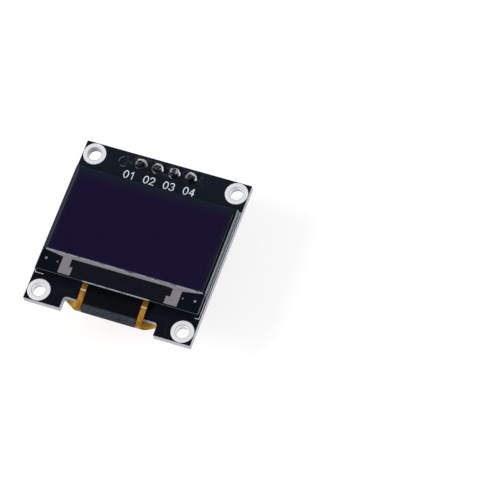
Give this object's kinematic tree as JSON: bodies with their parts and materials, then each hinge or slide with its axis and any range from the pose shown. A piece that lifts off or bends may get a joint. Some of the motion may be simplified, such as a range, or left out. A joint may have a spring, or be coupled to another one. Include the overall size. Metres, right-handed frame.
{
  "type": "small oled module",
  "caption": "Square circuit board with a taped glass display, folded ribbon cable, back components and a pin header.",
  "frame": {"origin": "centre of the four mounting holes, on the front face of the circuit board", "axes": "+Z out of the display, +Y towards the edge with the header, +X to the right of someone facing the display"},
  "size_m": [0.0252, 0.0258, 0.0111],
  "materials": {
    "solder_mask": "near-black solder mask over glass-fibre laminate",
    "tin": "satin tinned copper",
    "solder": "smooth solder",
    "terminal_tin": "matte tin",
    "lead_metal": "matte tin",
    "pin_metal": "bright plated brass",
    "header_plastic": "moulded",
    "tape": "adhesive tape",
    "rear_glass": "float glass over a dark back",
    "seal": "cured glue",
    "display_glass": "float glass over a dark back",
    "polarizer": "dark film with a faint violet sheen",
    "resin": "cured resin",
    "silicon": "polished silicon",
    "cable_film": "amber film over copper tracks",
    "cable_cover": "printed cover film",
    "ceramic_beige": "fired ceramic",
    "ceramic_khaki": "fired ceramic",
    "ceramic_rose": "fired ceramic",
    "ceramic_grey": "fired ceramic",
    "ceramic_dark": "fired ceramic",
    "ceramic_brown": "fired ceramic",
    "ceramic_red": "fired ceramic",
    "alumina": "white ceramic",
    "resistor_coat": "black glaze",
    "package": "moulded epoxy"
  },
  "bodies": {
    "root": {"circuit_board": "solder_mask", "mounting_hole_plating": "tin", "header_strip": "header_plastic", "header_pin_1": "pin_metal", "header_pin_2": "pin_metal", "header_pin_3": "pin_metal", "header_pin_4": "pin_metal", "header_solder_joints": "solder", "mounting_tape": "tape", "rear_glass": "rear_glass", "panel_seal": "seal", "display_glass": "display_glass", "polarizer_film": "polarizer", "chip_coating": "resin", "ledge_masks": "resin", "driver_chip": "silicon", "flex_cable": "cable_film", "cable_cover": "cable_cover", "cable_fingers": "solder", "board_contact_pads": "solder", "capacitor_1_body": "ceramic_beige", "capacitor_1_terminals": "terminal_tin", "capacitor_2_body": "ceramic_khaki", "capacitor_2_terminals": "terminal_tin", "capacitor_3_body": "ceramic_rose", "capacitor_3_terminals": "terminal_tin", "capacitor_4_body": "ceramic_grey", "capacitor_4_terminals": "terminal_tin", "capacitor_5_body": "ceramic_dark", "capacitor_5_terminals": "terminal_tin", "capacitor_6_body": "ceramic_brown", "capacitor_6_terminals": "terminal_tin", "capacitor_7_body": "ceramic_red", "capacitor_7_terminals": "terminal_tin", "resistor_1_body": "alumina", "resistor_1_terminals": "terminal_tin", "resistor_1_coat": "resistor_coat", "resistor_2_body": "alumina", "resistor_2_terminals": "terminal_tin", "resistor_2_coat": "resistor_coat", "resistor_3_body": "alumina", "resistor_3_terminals": "terminal_tin", "resistor_3_coat": "resistor_coat", "resistor_4_body": "alumina", "resistor_4_terminals": "terminal_tin", "resistor_4_coat": "resistor_coat", "resistor_5_body": "alumina", "resistor_5_terminals": "terminal_tin", "resistor_5_coat": "resistor_coat", "diode_body": "package", "diode_leads": "lead_metal", "regulator_body": "package", "regulator_legs": "lead_metal", "component_solder": "solder"}
  },
  "joints": []
}
